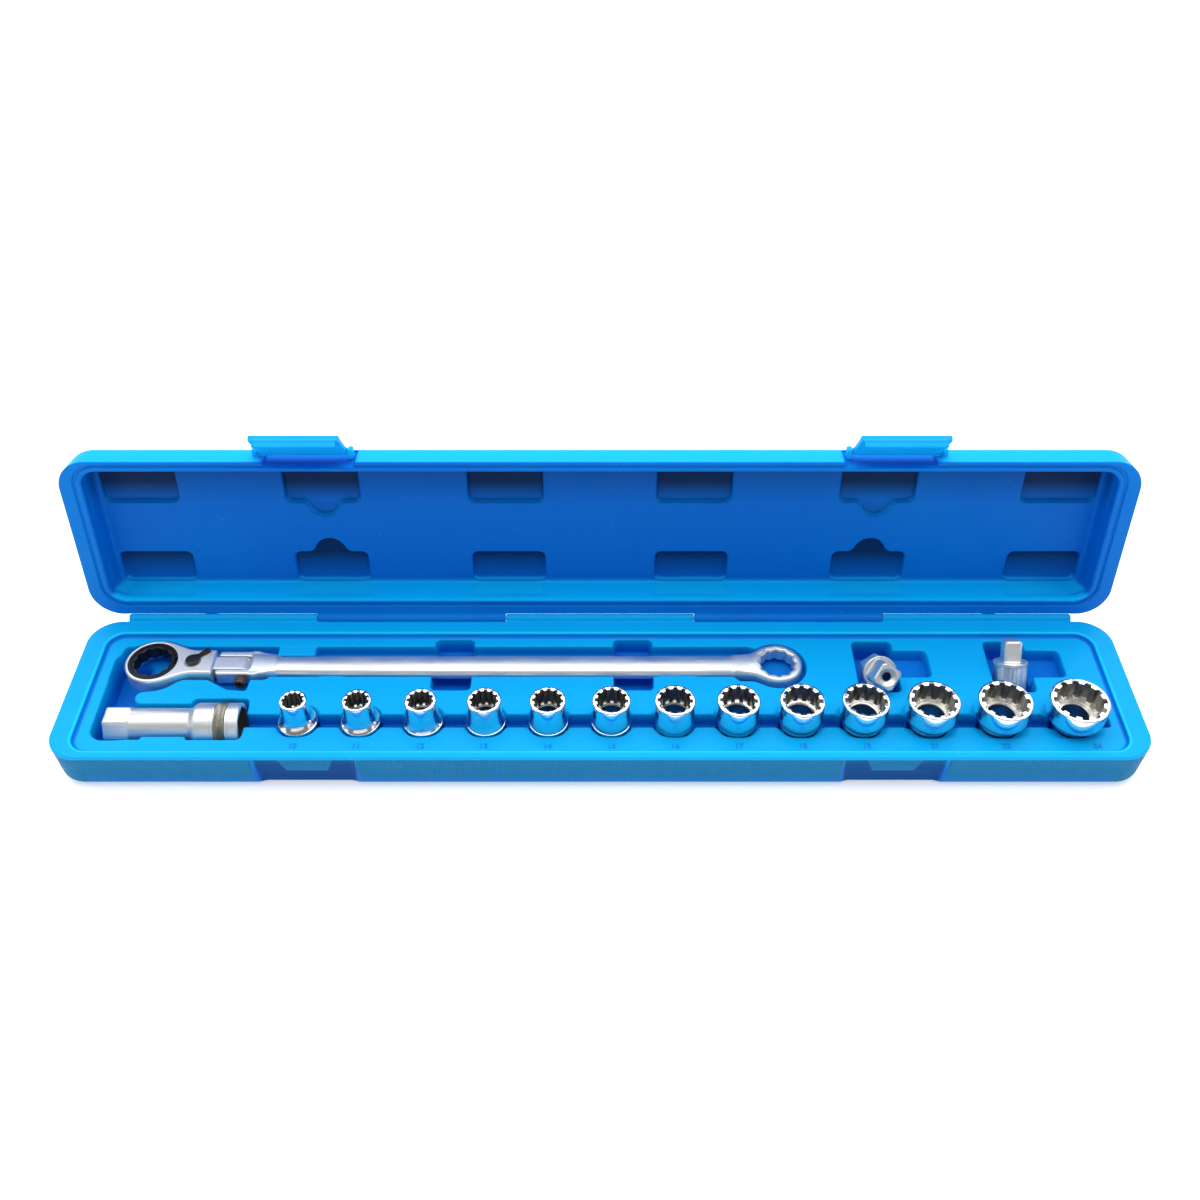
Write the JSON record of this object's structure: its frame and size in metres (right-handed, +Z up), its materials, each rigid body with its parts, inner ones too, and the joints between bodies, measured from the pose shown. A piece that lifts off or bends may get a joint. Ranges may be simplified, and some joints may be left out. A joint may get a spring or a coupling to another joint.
{
  "type": "socket wrench set in case",
  "caption": "Long hinged plastic case holding a flex-head ratchet ring wrench, a row of pass-through splined sockets, an extension and square-drive adapters.",
  "frame": {"origin": "middle of the base's flat underside", "axes": "+X along the case towards the largest socket, +Y from the front towards the hinge, +Z up"},
  "size_m": [0.58, 0.1361, 0.1467],
  "materials": {
    "case_plastic": "satin blow-moulded plastic",
    "latch_plastic": "satin moulded plastic",
    "satin_chrome": "satin chrome plate",
    "bright_chrome": "bright chrome plate",
    "black_steel": "black oxide",
    "spring_steel": "plain steel"
  },
  "bodies": {
    "base": {"base_shell": "case_plastic", "hinge_pin": "spring_steel"},
    "lid": {"lid_shell": "case_plastic", "latch_pin_left": "spring_steel", "latch_pin_right": "spring_steel"},
    "latch_left": {"latch_left": "latch_plastic"},
    "latch_right": {"latch_right": "latch_plastic"},
    "wrench": {"wrench_handle": "satin_chrome", "pivot_screw": "black_steel", "detent_ball": "spring_steel", "detent_spring": "spring_steel"},
    "flex_head": {"flex_head": "satin_chrome", "gear_retaining_ring": "black_steel", "pawl_spring": "spring_steel"},
    "ratchet_gear": {"ratchet_gear": "black_steel"},
    "reversing_lever": {"reversing_lever": "black_steel"},
    "pawl": {"pawl": "black_steel"},
    "socket_10mm": {"socket_10mm": "bright_chrome"},
    "socket_11mm": {"socket_11mm": "bright_chrome"},
    "socket_12mm": {"socket_12mm": "bright_chrome"},
    "socket_13mm": {"socket_13mm": "bright_chrome"},
    "socket_14mm": {"socket_14mm": "bright_chrome"},
    "socket_15mm": {"socket_15mm": "bright_chrome"},
    "socket_16mm": {"socket_16mm": "bright_chrome"},
    "socket_17mm": {"socket_17mm": "bright_chrome"},
    "socket_18mm": {"socket_18mm": "bright_chrome"},
    "socket_19mm": {"socket_19mm": "bright_chrome"},
    "socket_21mm": {"socket_21mm": "bright_chrome"},
    "socket_22mm": {"socket_22mm": "bright_chrome"},
    "socket_24mm": {"socket_24mm": "bright_chrome"},
    "extension": {"extension_bar": "satin_chrome", "knurled_ring": "black_steel"},
    "adapter_large": {"adapter_large": "bright_chrome"},
    "adapter_small": {"adapter_small": "bright_chrome"},
    "adapter_large_ball": {"adapter_large_ball": "spring_steel"},
    "adapter_small_ball": {"adapter_small_ball": "spring_steel"}
  },
  "joints": [
    {"name": "lid_hinge", "type": "hinge", "parent": "base", "child": "lid", "pos_m": [0, 0.0522, 0.025], "axis": [-1, 0, 0], "range_deg": [-98.5, 0]},
    {"name": "latch_left_hinge", "type": "hinge", "parent": "lid", "child": "latch_left", "pos_m": [-0.158, 0.07557, 0.12727], "axis": [-1, 0, 0], "range_deg": [-46, 80]},
    {"name": "latch_right_hinge", "type": "hinge", "parent": "lid", "child": "latch_right", "pos_m": [0.158, 0.07557, 0.12727], "axis": [-1, 0, 0], "range_deg": [-46, 80]},
    {"name": "wrench_lift", "type": "slide", "parent": "base", "child": "wrench", "axis": [0, 0, 1], "range_m": [0, 0.12]},
    {"name": "flex_pivot", "type": "hinge", "parent": "wrench", "child": "flex_head", "pos_m": [-0.1985, 0.0175, 0.0208], "axis": [0, 1, 0], "range_deg": [0, 90]},
    {"name": "gear_spin", "type": "hinge", "parent": "flex_head", "child": "ratchet_gear", "pos_m": [-0.248, 0.0175, 0.022], "axis": [0, 0, 1], "continuous": true},
    {"name": "lever_turn", "type": "hinge", "parent": "flex_head", "child": "reversing_lever", "pos_m": [-0.226, 0.0175, 0.026], "axis": [0, 0, 1], "range_deg": [-94, 0]},
    {"name": "pawl_rock", "type": "hinge", "parent": "flex_head", "child": "pawl", "pos_m": [-0.2314, 0.0175, 0.021], "axis": [0, 0, 1], "range_deg": [-3, 0]},
    {"name": "socket_10mm_lift", "type": "slide", "parent": "base", "child": "socket_10mm", "axis": [0, 0, 1], "range_m": [0, 0.06]},
    {"name": "socket_11mm_lift", "type": "slide", "parent": "base", "child": "socket_11mm", "axis": [0, 0, 1], "range_m": [0, 0.06]},
    {"name": "socket_12mm_lift", "type": "slide", "parent": "base", "child": "socket_12mm", "axis": [0, 0, 1], "range_m": [0, 0.06]},
    {"name": "socket_13mm_lift", "type": "slide", "parent": "base", "child": "socket_13mm", "axis": [0, 0, 1], "range_m": [0, 0.06]},
    {"name": "socket_14mm_lift", "type": "slide", "parent": "base", "child": "socket_14mm", "axis": [0, 0, 1], "range_m": [0, 0.06]},
    {"name": "socket_15mm_lift", "type": "slide", "parent": "base", "child": "socket_15mm", "axis": [0, 0, 1], "range_m": [0, 0.06]},
    {"name": "socket_16mm_lift", "type": "slide", "parent": "base", "child": "socket_16mm", "axis": [0, 0, 1], "range_m": [0, 0.06]},
    {"name": "socket_17mm_lift", "type": "slide", "parent": "base", "child": "socket_17mm", "axis": [0, 0, 1], "range_m": [0, 0.06]},
    {"name": "socket_18mm_lift", "type": "slide", "parent": "base", "child": "socket_18mm", "axis": [0, 0, 1], "range_m": [0, 0.06]},
    {"name": "socket_19mm_lift", "type": "slide", "parent": "base", "child": "socket_19mm", "axis": [0, 0, 1], "range_m": [0, 0.06]},
    {"name": "socket_21mm_lift", "type": "slide", "parent": "base", "child": "socket_21mm", "axis": [0, 0, 1], "range_m": [0, 0.06]},
    {"name": "socket_22mm_lift", "type": "slide", "parent": "base", "child": "socket_22mm", "axis": [0, 0, 1], "range_m": [0, 0.06]},
    {"name": "socket_24mm_lift", "type": "slide", "parent": "base", "child": "socket_24mm", "axis": [0, 0, 1], "range_m": [0, 0.06]},
    {"name": "extension_lift", "type": "slide", "parent": "base", "child": "extension", "axis": [0, 0, 1], "range_m": [0, 0.06]},
    {"name": "adapter_large_lift", "type": "slide", "parent": "base", "child": "adapter_large", "axis": [0, 0, 1], "range_m": [0, 0.06]},
    {"name": "adapter_small_lift", "type": "slide", "parent": "base", "child": "adapter_small", "axis": [0, 0, 1], "range_m": [0, 0.06]},
    {"name": "adapter_large_ball_press", "type": "slide", "parent": "adapter_large", "child": "adapter_large_ball", "axis": [0.9962, 0.0872, 0], "range_m": [0, 0.0008], "stiffness_N_per_m": 200},
    {"name": "adapter_small_ball_press", "type": "slide", "parent": "adapter_small", "child": "adapter_small_ball", "axis": [1, 0, 0], "range_m": [0, 0.0006], "stiffness_N_per_m": 200}
  ],
  "couplings": [
    {"joint": "pawl_rock", "follows": "lever_turn", "ratio": 0.03}
  ]
}
